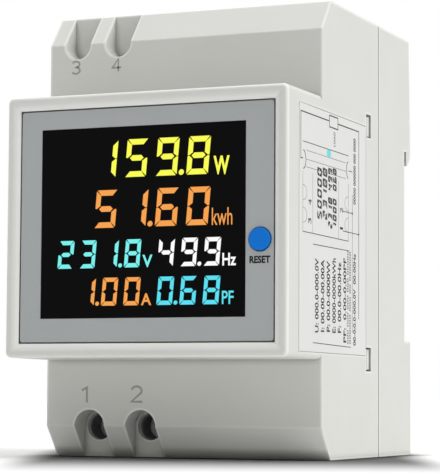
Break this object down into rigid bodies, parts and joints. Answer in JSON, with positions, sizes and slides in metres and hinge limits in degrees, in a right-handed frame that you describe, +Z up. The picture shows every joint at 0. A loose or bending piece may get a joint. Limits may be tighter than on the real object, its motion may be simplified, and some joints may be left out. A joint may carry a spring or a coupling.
{
  "type": "digital power meter",
  "caption": "Rail-mounted power meter with a colour segment display, a round blue reset button, rising-cage screw terminals, a sprung rail latch and a through tunnel for the measured wire.",
  "frame": {"origin": "middle of the underside", "axes": "+X to the right seen from the front, +Y from the display to the rail, +Z up"},
  "size_m": [0.0524, 0.066, 0.0798],
  "materials": {
    "housing_plastic": "fine matt moulded texture",
    "panel_film": "smooth satin grey",
    "display_black": "smooth black",
    "display_yellow": "lit segments",
    "display_orange": "lit segments",
    "display_cyan": "lit segments",
    "display_blue": "lit segments",
    "display_white": "lit segments",
    "button_plastic": "satin blue",
    "marking_ink": "grey pad print",
    "label_film": "smooth satin film",
    "label_ink": "grey screen print",
    "label_mark": "cyan screen print",
    "latch_plastic": "fine matt moulded texture",
    "block_plastic": "matt black",
    "frame_plastic": "matt white",
    "plunger_plastic": "matt black",
    "chip_resin": "matt black",
    "circuit_board": "green solder mask",
    "lcd_glass": "polished",
    "diffuser_acrylic": "milky",
    "led_package": "smooth",
    "plated_steel": "zinc plated",
    "spring_steel": "drawn wire",
    "contact_brass": "rolled strip",
    "crystal_can": "polished can",
    "film_capacitor_case": "smooth box",
    "capacitor_sleeve": "shrink sleeve",
    "varistor_coating": "dipped coating",
    "resistor_body": "dipped coating",
    "ferrite": "sintered",
    "enamelled_copper": "layered winding"
  },
  "bodies": {
    "housing": {"front_housing": "housing_plastic", "rear_base": "housing_plastic", "panel_overlay": "panel_film", "display_window": "display_black", "lcd_glass": "lcd_glass", "lcd_frame": "frame_plastic", "backlight_diffuser": "diffuser_acrylic", "backlight_leds": "led_package", "display_board": "circuit_board", "display_board_screws": "plated_steel", "display_controller": "chip_resin", "tact_switch": "chip_resin", "main_board": "circuit_board", "main_board_screws": "plated_steel", "link_board": "circuit_board", "metering_chip": "chip_resin", "crystal": "crystal_can", "dropper_capacitor": "film_capacitor_case", "smoothing_capacitor": "capacitor_sleeve", "varistor": "varistor_coating", "fuse_resistor": "resistor_body", "bridge_rectifier": "chip_resin", "wire_tunnel": "housing_plastic", "sensor_core": "ferrite", "sensor_winding": "enamelled_copper", "sensor_bracket": "frame_plastic", "terminal_block": "block_plastic", "terminal_bar_1": "contact_brass", "terminal_bar_2": "contact_brass", "side_label": "label_film"},
    "reset_button": {"reset_button": "button_plastic", "tact_plunger": "plunger_plastic"},
    "rail_latch": {"rail_latch": "latch_plastic", "latch_spring": "spring_steel"},
    "terminal_screw_1": {"terminal_screw_1": "plated_steel"},
    "terminal_screw_2": {"terminal_screw_2": "plated_steel"},
    "terminal_cage_1": {"terminal_cage_1": "plated_steel"},
    "terminal_cage_2": {"terminal_cage_2": "plated_steel"}
  },
  "joints": [
    {"name": "reset_press", "type": "slide", "parent": "housing", "child": "reset_button", "axis": [0, 1, 0], "range_m": [0, 0.0003], "stiffness_N_per_m": 2000, "springref_m": -0.0002},
    {"name": "latch_pull", "type": "slide", "parent": "housing", "child": "rail_latch", "axis": [0, 0, -1], "range_m": [0, 0.0036], "stiffness_N_per_m": 1000, "springref_m": -0.002, "deforming": ["latch_spring"]},
    {"name": "terminal_turn_1", "type": "hinge", "parent": "housing", "child": "terminal_screw_1", "pos_m": [-0.0178, 0, 0.00545], "axis": [0, 1, 0], "range_deg": [-360, 2520]},
    {"name": "cage_lift_1", "type": "slide", "parent": "housing", "child": "terminal_cage_1", "axis": [0, -1, 0], "range_m": [0, 0.003]},
    {"name": "terminal_turn_2", "type": "hinge", "parent": "housing", "child": "terminal_screw_2", "pos_m": [-0.0078, 0, 0.00545], "axis": [0, 1, 0], "range_deg": [-360, 2520]},
    {"name": "cage_lift_2", "type": "slide", "parent": "housing", "child": "terminal_cage_2", "axis": [0, -1, 0], "range_m": [0, 0.003]}
  ],
  "couplings": [
    {"joint": "terminal_turn_1", "follows": "cage_lift_1", "rad_per_m": 12566},
    {"joint": "terminal_turn_2", "follows": "cage_lift_2", "rad_per_m": 12566}
  ]
}
